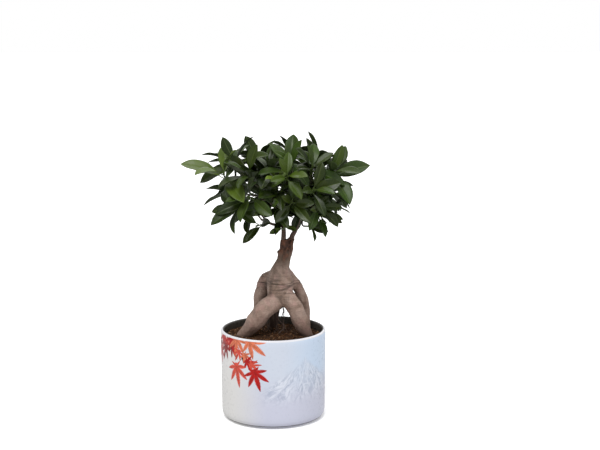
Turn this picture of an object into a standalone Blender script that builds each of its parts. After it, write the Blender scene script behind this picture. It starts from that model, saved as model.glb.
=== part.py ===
"""Grafted bonsai fig in a glazed pot: pot, soil, rootstock, two scions and their leafy shoots.

Metres, +Z up. The origin is the centre of the pot's flat underside. -Y is the front of the tree.
Bearings are degrees from +X, counter-clockwise from above. A lift is degrees above the horizontal.
"""
import math
import random

import bmesh
import bpy
from mathutils import Quaternion, Vector
from mathutils.bvhtree import BVHTree

CLEARANCE = 0.0003              # gap kept between pieces that touch

# Pot
POT_DIAMETER = 0.130
POT_HEIGHT = 0.110
POT_WALL = 0.0046
POT_FLOOR = 0.0070
POT_TAPER = 0.0010              # how much narrower the foot is than the rim, each side
POT_FOOT_FILLET = 0.0090
POT_INNER_FILLET = 0.0060
POT_STEPS = 44

# Soil
SOIL_DROP = 0.0090              # from the rim down to the soil at the wall
SOIL_MOUND = 0.0035             # how much higher the soil is in the middle
SOIL_STEPS = 36

# Rootstock
TRUNK_OFFSET = 0.0100           # the trunk stands this far right of the pot's centre
ROOTSTOCK_HEIGHT = 0.1250       # soil at the wall to the graft cut
TRUNK_THICKNESS = 1.0           # scales the trunk's and the roots' thickness
ROOT_DEPTH = 0.0120             # how far the thick roots go on below the soil
STUB_FOOT = 0.80                # where the stubs begin, as a share of the rootstock
STUB_FLARE = 1.15               # how much wider a stub is at its foot
SAW_WIDTH = 2.6                 # the graft cut's width, in stub radii
SAW_LENGTH = 1.6                # what it clears above the cut, in stub lengths
ROOTSTOCK_VOXEL = 0.0020
ROOTSTOCK_FACES = 1800
SOCKET_SWELL = 1.3              # the socket in the soil, in clearances

# Crown
CROWN_REACH = 0.0800            # left and right of the graft
CROWN_DEPTH = 0.0800            # front and back of the graft
CROWN_RISE = 0.1200             # above the graft
LIMB_RADIUS = 0.0032
SIDE_LIMB = 0.72                # a side limb's radius as a share of its leader's
TWIG_RADIUS = 0.0012
TWIG_STEPS = 5
TWIG_EASE = 0.35                # how far a twig keeps the direction of its ends
TWIG_ARCH = 0.10                # how much a twig rises as it leaves its limb

# Shoots and leaves
STEM_LENGTH = 0.0160
STEM_RADIUS = 0.0011
STEM_SIDES = 5
STEM_PROFILE = ((0.0, 1.0), (0.80, 0.80))    # share along the stem, thickness
BUD_REACH = 1.1                 # the bud's tip, in stem lengths
LEAF_LENGTH = 0.0420
LEAF_WIDTH = 0.0200
LEAF_THICKNESS = 0.0009
LEAF_FOLD = math.radians(15)    # each half of a blade is raised this much about its midrib
LEAF_PROFILE = ((0.05, 0.13), (0.38, 0.90), (0.74, 0.86))    # share along the blade, spread
LEAF_BEND = (14, 38)            # degrees that a blade bends down from base to tip
LEAF_LEAN = 22                  # degrees that a blade may roll either way
LEAF_VARIATION = 0.08
LIGHT = Vector((0.0, -0.60, 0.80))    # where the light comes from that the leaves turn to
LIGHT_PULL = 0.55
PETIOLE_LENGTH = 0.0060         # on a leaf of LEAF_LENGTH
PETIOLE_RADIUS = 0.0007
LEAF_ZONE = (0.25, 0.75)        # part of the stem that bears leaves, oldest to youngest
OPENING = (90, 28)              # angle from stem to leaf, oldest and youngest
YOUNGEST_LEAF = 0.72            # its size as a share of the oldest leaf's
SHRINKS = (1, 0.86, 0.72, 0.60) # sizes that a leaf tries until it has room
WIDENINGS = (0, 14, -14, 28, -26)
SWINGS = (0, 12, -12, 24, -24, 38, -38)
LEAF_MARGIN = 0.0006            # free space kept around a growing leaf
GOLDEN_ANGLE = math.radians(137.5)
SEED = 11

# Derived sizes
POT_RADIUS = POT_DIAMETER / 2
POT_INNER_RADIUS = POT_RADIUS - POT_WALL
SOIL_LEVEL = POT_HEIGHT - SOIL_DROP
GRAFT = Vector((TRUNK_OFFSET + 0.006, 0, SOIL_LEVEL + ROOTSTOCK_HEIGHT - 0.003))

# Trunk stations: sideways sway, height as a share of the rootstock, radius.
TRUNK = (
    (-0.0010, 0.40, 0.0125),
    (-0.0015, 0.43, 0.0162),
    (-0.0015, 0.50, 0.0172),
    (-0.0012, 0.57, 0.0158),
    (-0.0010, 0.64, 0.0132),
    (0.0005, 0.70, 0.0098),
    (0.0027, 0.75, 0.0083),
    (0.0042, 0.81, 0.0080),
    (0.0052, 0.86, 0.0070),
)

# Cut stubs at the top of the trunk: sway at the foot and at the cut, depth, height, radius.
STUBS = {
    "left": (0.0018, 0.0030, -0.0010, 0.965, 0.0047),
    "right": (0.0078, 0.0130, 0.0010, 0.970, 0.0043),
}

# Thick aerial roots: bearing of the foot, gap from foot to pot wall, sideways bow, and stations
# of outward share, height as a share of the rootstock, radius.
ROOTS = {
    "front_left": (187, 0.0165, 0.0120, (
        (0.00, 0.392, 0.0090),
        (0.11, 0.360, 0.0120),
        (0.29, 0.318, 0.0122),
        (0.45, 0.254, 0.0120),
        (0.65, 0.144, 0.0110),
        (0.86, 0.026, 0.0084),
    )),
    "front_right": (-8, 0.0125, -0.0110, (
        (0.10, 0.410, 0.0090),
        (0.28, 0.385, 0.0104),
        (0.46, 0.315, 0.0104),
        (0.60, 0.212, 0.0102),
        (0.72, 0.128, 0.0096),
        (0.88, 0.024, 0.0078),
    )),
    "back_left": (135, 0.0160, 0.0000, (
        (0.19, 0.595, 0.0080),
        (0.42, 0.552, 0.0084),
        (0.55, 0.470, 0.0090),
        (0.61, 0.360, 0.0090),
        (0.65, 0.216, 0.0082),
        (0.74, 0.056, 0.0074),
    )),
    "back_right": (30, 0.0120, 0.0000, (
        (0.13, 0.625, 0.0076),
        (0.32, 0.572, 0.0072),
        (0.52, 0.505, 0.0076),
        (0.72, 0.420, 0.0078),
        (0.88, 0.309, 0.0072),
        (0.93, 0.200, 0.0068),
        (0.94, 0.088, 0.0070),
    )),
    "back_middle": (92, 0.0260, -0.0030, (
        (0.12, 0.500, 0.0090),
        (0.50, 0.380, 0.0066),
        (0.78, 0.220, 0.0062),
        (0.92, 0.060, 0.0064),
    )),
}

# Limbs, as places in the crown box (right, back, up).
LIMBS = {
    "left": {
        "leader": ((-0.04, 0.00, 0.12), (-0.10, 0.02, 0.25), (-0.26, 0.06, 0.42), (-0.44, 0.02, 0.58)),
        "low": ((-0.04, 0.00, 0.12), (-0.20, -0.05, 0.145), (-0.38, -0.10, 0.20)),
        "rear": ((-0.20, 0.05, 0.36), (-0.26, 0.28, 0.46), (-0.30, 0.46, 0.54)),
        "front": ((-0.08, 0.015, 0.22), (-0.12, -0.12, 0.36), (-0.20, -0.24, 0.50)),
    },
    "right": {
        "leader": ((0.15, 0.01, 0.085), (0.20, 0.01, 0.20), (0.22, 0.02, 0.35), (0.20, 0.06, 0.50),
                   (0.12, 0.02, 0.62)),
        "side": ((0.20, 0.01, 0.19), (0.36, -0.03, 0.29), (0.48, -0.06, 0.40), (0.54, -0.10, 0.52)),
        "rear": ((0.22, 0.03, 0.36), (0.26, 0.26, 0.46), (0.20, 0.44, 0.56)),
        "front": ((0.20, 0.01, 0.22), (0.18, -0.16, 0.34), (0.16, -0.28, 0.46)),
    },
}

# Shoots: scion and limb, share along the limb, place in the crown box, bearing and lift of the
# stem, bearing and lift of its first leaf, leaves, leaf size.
SHOOTS = {
    "far_left": ("left", "leader", 0.84, (-0.89, -0.26, 0.590), (-122, 62), (181, 31), 5, 1.22),
    "top_left": ("left", "leader", 0.98, (-0.70, -0.14, 0.70), (190, 62), (192, -12), 7, 1.05),
    "top_left_back": ("left", "leader", 0.90, (-0.80, 0.18, 0.71), (165, 45), (178, 44), 6, 0.90),
    "front_left_high": ("left", "leader", 0.78, (-0.50, -0.40, 0.62), (-125, 48), (-150, 0), 6, 1.00),
    "front_left": ("left", "front", 0.65, (-0.46, -0.50, 0.44), (-128, 20), (202, -14), 6, 0.95),
    "left_low": ("left", "low", 0.97, (-0.60, -0.28, 0.34), (212, 8), (196, -20), 6, 0.95),
    "left_hanging": ("left", "low", 0.75, (-0.46, -0.10, 0.27), (190, -6), (178, -4), 4, 0.66),
    "low_left": ("left", "low", 0.45, (-0.30, -0.26, 0.17), (214, -4), (196, -36), 4, 0.74),
    "left_back": ("left", "leader", 0.70, (-0.68, 0.26, 0.44), (160, 14), (172, -10), 6, 0.95),
    "heart_left": ("left", "leader", 0.66, (-0.30, 0.04, 0.62), (110, 74), (150, 30), 6, 0.90),
    "centre_left": ("left", "front", 0.98, (-0.26, -0.30, 0.64), (-70, 68), (60, 72), 7, 0.90),
    "young": ("left", "front", 0.88, (-0.14, -0.52, 0.60), (-100, 34), (-20, 20), 5, 0.55),
    "inner_left": ("left", "front", 0.45, (-0.16, -0.42, 0.36), (-104, 16), (188, 14), 5, 0.78),
    "back_left": ("left", "rear", 0.98, (-0.36, 0.58, 0.66), (125, 48), (150, 10), 7, 1.00),
    "low_back_left": ("left", "rear", 0.55, (-0.42, 0.56, 0.38), (130, 6), (150, -20), 6, 0.95),
    "back_middle": ("left", "rear", 0.75, (-0.05, 0.66, 0.52), (92, 26), (90, -10), 6, 0.95),
    "stump": ("left", "low", 0.10, (-0.04, -0.12, 0.10), (-80, 34), (188, -16), 3, 0.40),
    "middle_back": ("left", "rear", 0.85, (-0.16, 0.34, 0.60), (95, 55), (100, 10), 6, 0.90),
    "left_middle": ("left", "leader", 0.72, (-0.50, 0.16, 0.50), (170, 30), (190, 0), 6, 0.90),
    "front_middle": ("left", "front", 0.75, (-0.06, -0.36, 0.49), (-95, 30), (-130, 0), 6, 0.85),
    "inner_back_left": ("left", "leader", 0.55, (-0.36, 0.22, 0.50), (140, 30), (150, 0), 6, 0.90),
    "heart_low_left": ("left", "leader", 0.45, (-0.24, 0.02, 0.36), (160, 40), (200, -6), 5, 0.80),
    "top_middle": ("right", "leader", 0.97, (0.08, -0.26, 0.70), (-92, 42), (84, 80), 7, 0.92),
    "middle": ("right", "front", 0.97, (0.00, -0.56, 0.62), (-84, 40), (172, 8), 6, 0.76),
    "front_right_high": ("right", "side", 0.90, (0.36, -0.36, 0.68), (-74, 46), (-110, 50), 6, 0.90),
    "middle_right": ("right", "front", 0.75, (0.34, -0.46, 0.50), (-66, 22), (-30, 20), 6, 0.84),
    "front_low": ("right", "front", 0.60, (0.08, -0.44, 0.40), (-88, 8), (-60, -24), 5, 0.80),
    "heart_right": ("right", "leader", 0.60, (0.40, 0.00, 0.60), (10, 70), (60, 30), 6, 0.90),
    "top_back": ("right", "leader", 0.90, (0.10, 0.22, 0.72), (80, 70), (60, 20), 7, 0.95),
    "top_right_back": ("right", "leader", 0.80, (0.40, 0.18, 0.70), (35, 52), (20, 12), 6, 0.95),
    "top_right": ("right", "side", 0.98, (0.62, -0.22, 0.62), (-62, 44), (-2, 18), 7, 1.10),
    "right_middle": ("right", "side", 0.80, (0.62, -0.10, 0.44), (-6, 14), (4, 22), 7, 0.68),
    "right_low": ("right", "side", 0.55, (0.58, -0.06, 0.32), (-8, 10), (-4, -2), 6, 0.62),
    "front_right_low": ("right", "side", 0.45, (0.40, -0.36, 0.36), (-58, 2), (-30, -26), 5, 0.80),
    "low_right": ("right", "side", 0.35, (0.40, -0.22, 0.24), (-30, 10), (-6, -2), 6, 0.72),
    "bottom_right": ("right", "side", 0.12, (0.27, -0.15, 0.135), (-40, 4), (-4, -12), 4, 0.55),
    "inner_right": ("right", "side", 0.30, (0.32, -0.12, 0.42), (-50, 30), (-80, 0), 5, 0.80),
    "inner_back_right": ("right", "leader", 0.45, (0.32, 0.26, 0.46), (50, 30), (40, 0), 6, 0.90),
    "heart_low_right": ("right", "leader", 0.35, (0.12, 0.04, 0.40), (110, 50), (-110, 0), 5, 0.80),
    "right_high_back": ("right", "side", 0.75, (0.56, 0.06, 0.58), (20, 40), (60, 0), 6, 0.90),
    "low_middle": ("right", "front", 0.35, (0.04, -0.14, 0.31), (-120, 24), (-150, -10), 5, 0.72),
    "right_back": ("right", "side", 0.66, (0.54, 0.28, 0.44), (48, 18), (70, -8), 6, 0.90),
    "back_right": ("right", "rear", 0.97, (0.42, 0.56, 0.62), (58, 44), (30, 4), 7, 1.00),
    "low_back_right": ("right", "rear", 0.50, (0.40, 0.58, 0.36), (60, 4), (40, -16), 6, 0.95),
    "low_back": ("right", "rear", 0.30, (0.04, 0.56, 0.30), (94, 0), (110, -20), 5, 0.85),
}

MATERIALS = {
    "glaze": ((0.80, 0.82, 0.87), 0.12),
    "soil": ((0.045, 0.026, 0.016), 0.95),
    "bark": ((0.30, 0.22, 0.17), 0.75),
    "branch": ((0.16, 0.10, 0.065), 0.70),
    "leaf": ((0.045, 0.11, 0.025), 0.35),
}


def clear_scene():
    for old in list(bpy.data.objects):
        bpy.data.objects.remove(old, do_unlink=True)


def new_collection(name):
    collection = bpy.data.collections.new(name)
    bpy.context.scene.collection.children.link(collection)
    return collection


def make_material(name, finish):
    colour, roughness = MATERIALS[finish]
    material = bpy.data.materials.new(name)
    material.use_nodes = True
    shader = material.node_tree.nodes["Principled BSDF"]
    shader.inputs["Base Color"].default_value = (*colour, 1)
    shader.inputs["Roughness"].default_value = roughness
    shader.inputs["Metallic"].default_value = 0
    return material


def add_object(name, data, collection, finish=None):
    thing = bpy.data.objects.new(name, data)
    collection.objects.link(thing)
    if finish:
        data.materials.append(make_material(name, finish))
    else:
        thing.hide_render = True
        thing.display_type = "WIRE"
    return thing


def evaluated_mesh(thing):
    """A new mesh of the object as its modifiers leave it."""
    graph = bpy.context.evaluated_depsgraph_get()
    return bpy.data.meshes.new_from_object(thing.evaluated_get(graph))


def fillet(centre, radius, start, end, steps):
    """Profile points (x, z) along an arc, both ends included; angles in degrees."""
    points = []
    for step in range(steps + 1):
        angle = math.radians(start + (end - start) * step / steps)
        points.append((centre[0] + radius * math.cos(angle), centre[1] + radius * math.sin(angle)))
    return points


def turned(name, profile, steps, collection, finish=None):
    """A solid of revolution; the profile runs down its outer side."""
    mesh = bpy.data.meshes.new(name)
    edges = [(index, index + 1) for index in range(len(profile) - 1)]
    mesh.from_pydata([(x, 0, z) for x, z in profile], edges, [])
    thing = add_object(name, mesh, collection, finish)
    screw = thing.modifiers.new("turn", "SCREW")
    screw.axis = "Z"
    screw.angle = math.tau
    screw.steps = steps
    screw.render_steps = steps
    screw.use_merge_vertices = True
    screw.merge_threshold = 0.00001
    screw.use_smooth_shade = True
    return thing


def smooth_path(points, steps):
    """Catmull-Rom points through the given vectors."""
    padded = [points[0] * 2 - points[1], *points, points[-1] * 2 - points[-2]]
    path = []
    for before, start, end, after in zip(padded, padded[1:], padded[2:], padded[3:]):
        for step in range(steps):
            t = step / steps
            path.append(0.5 * (2 * start + (end - before) * t
                               + (2 * before - 5 * start + 4 * end - after) * t * t
                               + (3 * start - before - 3 * end + after) * t ** 3))
    path.append(points[-1].copy())
    return path


def tapered_tube(name, path, radii, sides_level):
    """A closed mesh tube along the path, made from a bevelled curve."""
    curve = bpy.data.curves.new(name, "CURVE")
    curve.dimensions = "3D"
    curve.bevel_depth = 1
    curve.bevel_resolution = sides_level
    curve.use_fill_caps = True
    spline = curve.splines.new("POLY")
    spline.points.add(len(path) - 1)
    for point, place, radius in zip(spline.points, path, radii):
        point.co = (*place, 1)
        point.radius = radius
    guide = bpy.data.objects.new(name, curve)
    bpy.context.scene.collection.objects.link(guide)
    mesh = evaluated_mesh(guide)
    bpy.data.objects.remove(guide, do_unlink=True)
    bpy.data.curves.remove(curve)
    shape = bmesh.new()
    shape.from_mesh(mesh)
    bmesh.ops.remove_doubles(shape, verts=shape.verts, dist=0.00001)
    bmesh.ops.recalc_face_normals(shape, faces=shape.faces)
    shape.to_mesh(mesh)
    shape.free()
    return mesh


def direction(bearing, lift):
    bearing = math.radians(bearing)
    lift = math.radians(lift)
    level = math.cos(lift)
    return Vector((level * math.cos(bearing), level * math.sin(bearing), math.sin(lift)))


def in_crown(place):
    """World position of a place given as shares of the crown box."""
    return GRAFT + Vector((place[0] * CROWN_REACH, place[1] * CROWN_DEPTH, place[2] * CROWN_RISE))


def make_pot(collection):
    lip = POT_WALL / 2
    foot_radius = POT_RADIUS - POT_TAPER
    inner_foot = foot_radius - POT_WALL
    rim = fillet((POT_RADIUS - lip, POT_HEIGHT - lip), lip, 180, 0, 6)
    outer = fillet((foot_radius - POT_FOOT_FILLET, POT_FOOT_FILLET), POT_FOOT_FILLET, 0, -90, 4)
    inner = fillet((inner_foot - POT_INNER_FILLET, POT_FLOOR + POT_INNER_FILLET), POT_INNER_FILLET,
                   -90, 0, 3)
    profile = [(0, POT_FLOOR), *inner, *rim, *outer, (0, 0)]
    return turned("pot", profile, POT_STEPS, collection, "glaze")


def make_soil(collection):
    """Soil that fills the pot, mounded in the middle; its outline follows the pot's inside."""
    foot = POT_INNER_RADIUS - POT_TAPER - CLEARANCE
    top = POT_INNER_RADIUS - CLEARANCE - POT_TAPER * SOIL_DROP / POT_HEIGHT
    floor = POT_FLOOR + CLEARANCE
    mound = []
    for step in range(6):
        share = step / 6
        mound.append((top * share, SOIL_LEVEL + SOIL_MOUND * math.cos(share * math.pi / 2)))
    corner = fillet((foot - POT_INNER_FILLET, floor + POT_INNER_FILLET), POT_INNER_FILLET, 0, -90, 3)
    return turned("soil", [*mound, (top, SOIL_LEVEL), *corner, (0, floor)], SOIL_STEPS, collection, "soil")


def trunk_mesh():
    stations = []
    radii = []
    for sway, height, radius in TRUNK:
        stations.append(Vector((TRUNK_OFFSET + sway, 0, SOIL_LEVEL + height * ROOTSTOCK_HEIGHT)))
        radii.append(radius * TRUNK_THICKNESS)
    return tapered_tube("trunk", stations, radii, 4)


def stub_ends(side):
    """Foot and cut centre of a stub."""
    foot_sway, cut_sway, depth, height, radius = STUBS[side]
    foot = Vector((TRUNK_OFFSET + foot_sway, 0, SOIL_LEVEL + STUB_FOOT * ROOTSTOCK_HEIGHT))
    cut = Vector((TRUNK_OFFSET + cut_sway, depth, SOIL_LEVEL + height * ROOTSTOCK_HEIGHT))
    return foot, cut, radius * TRUNK_THICKNESS


def root_mesh(name):
    """A root that arches from the trunk to its foot by the pot wall and on into the soil."""
    bearing, wall_gap, bow, stations = ROOTS[name]
    trunk = Vector((TRUNK_OFFSET, 0, SOIL_LEVEL))
    foot = direction(bearing, 0) * (POT_INNER_RADIUS - wall_gap)
    foot.z = SOIL_LEVEL
    outward = foot - trunk
    sideways = outward.cross(Vector((0, 0, 1))).normalized()
    path = []
    for reach, height, radius in stations:
        place = trunk + outward * reach - sideways * bow * math.sin(math.pi * reach)
        place.z += height * ROOTSTOCK_HEIGHT
        path.append(place)
    path.append(foot - Vector((0, 0, ROOT_DEPTH)))
    radii = [radius * TRUNK_THICKNESS for reach, height, radius in stations]
    radii.append(radii[-1] * 0.8)
    return tapered_tube(name, path, radii, 4)


def join_meshes(name, meshes):
    shape = bmesh.new()
    for mesh in meshes:
        shape.from_mesh(mesh)
    joined = bpy.data.meshes.new(name)
    shape.to_mesh(joined)
    shape.free()
    return joined


def grow_together(thing):
    """Fuse overlapping tubes into one smooth skin of about ROOTSTOCK_FACES faces."""
    remesh = thing.modifiers.new("skin", "REMESH")
    remesh.mode = "VOXEL"
    remesh.voxel_size = ROOTSTOCK_VOXEL
    smooth = thing.modifiers.new("smooth", "SMOOTH")
    smooth.factor = 0.5
    smooth.iterations = 4
    skin = evaluated_mesh(thing)
    skin.calc_loop_triangles()
    decimate = thing.modifiers.new("thin_out", "DECIMATE")
    decimate.ratio = min(1, ROOTSTOCK_FACES / len(skin.loop_triangles))
    decimate.use_collapse_triangulate = True


def add_boolean(thing, operation, cutter):
    boolean = thing.modifiers.new(operation.lower(), "BOOLEAN")
    boolean.operation = operation
    boolean.solver = "EXACT"
    boolean.object = cutter
    return boolean


def make_rootstock(collection, cutters):
    """The swollen trunk with its aerial roots, with a flat graft cut on each stub."""
    meshes = [trunk_mesh()]
    for name in ROOTS:
        meshes.append(root_mesh(name))
    for side in STUBS:
        foot, cut, radius = stub_ends(side)
        beyond = cut + (cut - foot) * 0.6
        meshes.append(tapered_tube(side, [foot, cut, beyond], [radius * STUB_FLARE, radius, radius], 3))
    thing = add_object("rootstock", join_meshes("rootstock", meshes), collection, "bark")
    grow_together(thing)
    socket = add_object("root_socket", thing.data, cutters)
    grow_together(socket)
    swell = socket.modifiers.new("clearance", "DISPLACE")
    swell.strength = CLEARANCE * SOCKET_SWELL
    swell.mid_level = 0
    for side in STUBS:
        foot, cut, radius = stub_ends(side)
        axis = (cut - foot).normalized()
        bpy.ops.mesh.primitive_cube_add(size=1)
        saw = bpy.context.object
        for home in list(saw.users_collection):
            home.objects.unlink(saw)
        cutters.objects.link(saw)
        saw.name = "graft_saw_" + side
        saw.hide_render = True
        saw.display_type = "WIRE"
        length = (cut - foot).length * SAW_LENGTH
        saw.dimensions = (radius * SAW_WIDTH, radius * SAW_WIDTH, length)
        saw.rotation_mode = "QUATERNION"
        saw.rotation_quaternion = Vector((0, 0, 1)).rotation_difference(axis)
        saw.location = cut + axis * length / 2
        add_boolean(thing, "DIFFERENCE", saw)
    return thing, socket


def limb_path(side, name):
    """Points of a limb; the first limb of a scion starts on its graft cut."""
    places = [in_crown(place) for place in LIMBS[side][name]]
    if name != "leader":
        return smooth_path(places, 3)
    foot, cut, radius = stub_ends(side)
    axis = (cut - foot).normalized()
    start = cut + axis * CLEARANCE
    return [start, *smooth_path([start + axis * LIMB_RADIUS, *places], 3)]


def along(path, share):
    """Place at a share of a path, by its points."""
    position = share * (len(path) - 1)
    index = min(int(position), len(path) - 2)
    return path[index].lerp(path[index + 1], position - index)


def twig_path(side, limb, share, place, stem):
    """A twig that leaves its limb towards the shoot and ends along the shoot's stem."""
    start = along(limb_path(side, limb), share)
    end = in_crown(place)
    reach = (end - start).length
    leave = start + (end - start) * TWIG_EASE + Vector((0, 0, reach * TWIG_ARCH))
    arrive = end - stem * reach * TWIG_EASE
    path = []
    for step in range(TWIG_STEPS + 1):
        t = step / TWIG_STEPS
        path.append(start * (1 - t) ** 3 + leave * 3 * t * (1 - t) ** 2
                    + arrive * 3 * t * t * (1 - t) + end * t ** 3)
    return path


def taper(count, first, last):
    return [first + (last - first) * index / (count - 1) for index in range(count)]


def make_scion(side, collection, cutters):
    """A grafted scion: its leader with every limb and twig that grows from it."""
    pieces = bpy.data.collections.new("scion_" + side + "_pieces")
    cutters.children.link(pieces)
    leader = None
    for name in LIMBS[side]:
        path = limb_path(side, name)
        first = LIMB_RADIUS if name == "leader" else LIMB_RADIUS * SIDE_LIMB
        mesh = tapered_tube(name, path, taper(len(path), first, TWIG_RADIUS), 1)
        if name == "leader":
            leader = add_object("scion_" + side, mesh, collection, "branch")
        else:
            add_object(side + "_limb_" + name, mesh, pieces)
    for name, (scion, limb, share, place, stem, *growth) in SHOOTS.items():
        if scion == side:
            path = twig_path(side, limb, share, place, direction(*stem))
            mesh = tapered_tube(name, path, taper(len(path), TWIG_RADIUS, STEM_RADIUS), 0)
            add_object("twig_" + name, mesh, pieces)
    union = add_boolean(leader, "UNION", None)
    union.operand_type = "COLLECTION"
    union.collection = pieces
    return leader


def leaf_rings(start, heading, upper, length, width, bend, margin=0.0):
    """Sections of a leaf from its petiole to its tip.

    Each section is left edge, upper midrib, right edge, lower midrib. The blade bends away from
    its upper side as it goes out, and its halves are raised about the midrib.
    """
    side = heading.cross(upper).normalized()
    upper = side.cross(heading).normalized()
    rings = [section(start, side, upper, PETIOLE_RADIUS + margin, 2 * PETIOLE_RADIUS + 2 * margin, 0)]
    place = start + heading * PETIOLE_LENGTH * length / LEAF_LENGTH
    last = 0
    for share, spread in LEAF_PROFILE:
        turn = Quaternion(side, -bend * (share + last) / 2)
        place = place + (turn @ heading) * length * (share - last)
        last = share
        local_upper = Quaternion(side, -bend * share) @ upper
        half = width / 2 * spread + margin
        rings.append(section(place, side, local_upper, half, LEAF_THICKNESS + 2 * margin, LEAF_FOLD))
    turn = Quaternion(side, -bend * (1 + last) / 2)
    tip = place + (turn @ heading) * (length * (1 - last) + margin)
    return rings, tip


def section(place, side, upper, half, thickness, fold):
    out = side * half * math.cos(fold)
    raised = upper * half * math.sin(fold)
    return [place - out + raised, place + upper * thickness / 2,
            place + out + raised, place - upper * thickness / 2]


def loft(shape, rings, tip):
    """Skin the sections into a closed body that ends in a point."""
    layers = [[shape.verts.new(place) for place in ring] for ring in rings]
    end = shape.verts.new(tip)
    count = len(layers[0])
    for near, far in zip(layers, layers[1:]):
        for index in range(count):
            following = (index + 1) % count
            shape.faces.new((near[index], near[following], far[following]))
            shape.faces.new((near[index], far[following], far[index]))
    for index in range(count):
        shape.faces.new((layers[-1][index], layers[-1][(index + 1) % count], end))
    shape.faces.new(list(reversed(layers[0])))
    bmesh.ops.recalc_face_normals(shape, faces=shape.faces)


def stem_rings(base, axis):
    """Sections of a shoot's stem, which ends in a pointed bud."""
    side = axis.orthogonal().normalized()
    rings = []
    for share, thickness in STEM_PROFILE:
        centre = base + axis * STEM_LENGTH * share
        ring = []
        for index in range(STEM_SIDES):
            turn = Quaternion(axis, math.tau * index / STEM_SIDES)
            ring.append(centre + (turn @ side) * STEM_RADIUS * thickness)
        rings.append(ring)
    return rings, base + axis * STEM_LENGTH * BUD_REACH


def tree_of(rings, tip):
    """Collision tree of a loft."""
    shape = bmesh.new()
    loft(shape, rings, tip)
    bmesh.ops.triangulate(shape, faces=shape.faces)
    tree = BVHTree.FromBMesh(shape)
    shape.free()
    return tree


class Shoot:
    """A green stem with a spiral of leaves that grow where there is room."""

    def __init__(self, name, place, stem, lead, leaves, size, dice):
        self.name = name
        self.axis = direction(*stem)
        self.base = in_crown(place) + self.axis * CLEARANCE
        self.lead = direction(*lead)
        self.count = leaves
        self.size = size
        self.dice = dice
        self.leaves = []
        self.trees = []
        self.stem_tree = tree_of(*stem_rings(self.base, self.axis))

    def vary(self):
        return self.dice.uniform(1 - LEAF_VARIATION, 1 + LEAF_VARIATION)

    def candidates(self, number):
        """Headings for a leaf, best first: its turn about the stem, its opening and its size."""
        age = 1 - number / max(1, self.count - 1)
        opening = math.radians(OPENING[0] * age + OPENING[1] * (1 - age))
        across = self.lead - self.axis * self.lead.dot(self.axis)
        across.normalize()
        jitter = self.dice.uniform(-0.10, 0.10)
        for shrink in SHRINKS:
            for wider in WIDENINGS:
                for swing in SWINGS:
                    turn = number * GOLDEN_ANGLE + math.radians(swing) + jitter
                    outward = Quaternion(self.axis, turn) @ across
                    angle = opening + math.radians(wider)
                    heading = self.axis * math.cos(angle) + outward * math.sin(angle)
                    if number == 0:
                        heading = Quaternion(self.axis, math.radians(swing)) @ self.lead
                        heading = (heading + self.axis * wider * 0.01).normalized()
                    yield heading, outward, shrink

    def grow(self, number, obstacles):
        """Add one leaf if any candidate is free of everything that has grown so far."""
        age = 1 - number / max(1, self.count - 1)
        length = LEAF_LENGTH * self.size * (YOUNGEST_LEAF + (1 - YOUNGEST_LEAF) * age) * self.vary()
        width = length * LEAF_WIDTH / LEAF_LENGTH * self.vary()
        bend = math.radians(self.dice.uniform(*LEAF_BEND))
        lean = math.radians(self.dice.uniform(-LEAF_LEAN, LEAF_LEAN))
        start = self.base + self.axis * STEM_LENGTH * (LEAF_ZONE[0] * age + LEAF_ZONE[1] * (1 - age))
        for heading, outward, shrink in self.candidates(number):
            upper = self.axis - heading * heading.dot(self.axis)
            if upper.length < 0.2:
                upper = -outward
            upper = upper.normalized() + LIGHT * LIGHT_PULL
            upper = Quaternion(heading, lean) @ (upper - heading * upper.dot(heading)).normalized()
            shape = (start, heading, upper, length * shrink, width * shrink, bend)
            rings, tip = leaf_rings(*shape, margin=LEAF_MARGIN)
            blade = tree_of(rings[1:], tip)
            whole = tree_of(rings, tip)
            if self.is_free(blade, whole, obstacles):
                self.leaves.append(shape)
                self.trees.append(whole)
                return

    def is_free(self, blade, whole, obstacles):
        if blade.overlap(self.stem_tree):
            return False
        if any(blade.overlap(tree) for tree in self.trees):
            return False
        return not any(whole.overlap(tree) for owner, tree in obstacles if owner != self.name)

    def build(self, collection, pieces):
        shape = bmesh.new()
        loft(shape, *stem_rings(self.base, self.axis))
        mesh = bpy.data.meshes.new("shoot_" + self.name)
        shape.to_mesh(mesh)
        shape.free()
        thing = add_object("shoot_" + self.name, mesh, collection, "leaf")
        group = bpy.data.collections.new("leaves_" + self.name)
        pieces.children.link(group)
        for number, leaf in enumerate(self.leaves):
            shape = bmesh.new()
            rings, tip = leaf_rings(*leaf)
            loft(shape, rings, tip)
            blade = bpy.data.meshes.new("leaf")
            shape.to_mesh(blade)
            shape.free()
            add_object("leaf_" + self.name + "_" + str(number), blade, group)
        union = add_boolean(thing, "UNION", None)
        union.operand_type = "COLLECTION"
        union.collection = group
        return thing


def make_shoots(solids, collection, cutters):
    """Grow every shoot leaf by leaf, all shoots in turn, clear of the solids and of each other."""
    obstacles = []
    for solid in solids:
        mesh = evaluated_mesh(solid)
        vertices = [vertex.co.copy() for vertex in mesh.vertices]
        faces = [tuple(face.vertices) for face in mesh.polygons]
        obstacles.append((solid.name, BVHTree.FromPolygons(vertices, faces)))
    shoots = []
    for index, (name, row) in enumerate(SHOOTS.items()):
        shoot = Shoot(name, *row[3:], random.Random(SEED + index))
        shoots.append(shoot)
        obstacles.append((name, shoot.stem_tree))
    for number in range(max(shoot.count for shoot in shoots)):
        for shoot in shoots:
            if number < shoot.count:
                grown = len(shoot.trees)
                shoot.grow(number, obstacles)
                obstacles.extend((shoot.name, tree) for tree in shoot.trees[grown:])
    for shoot in shoots:
        shoot.build(collection, cutters)


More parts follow.
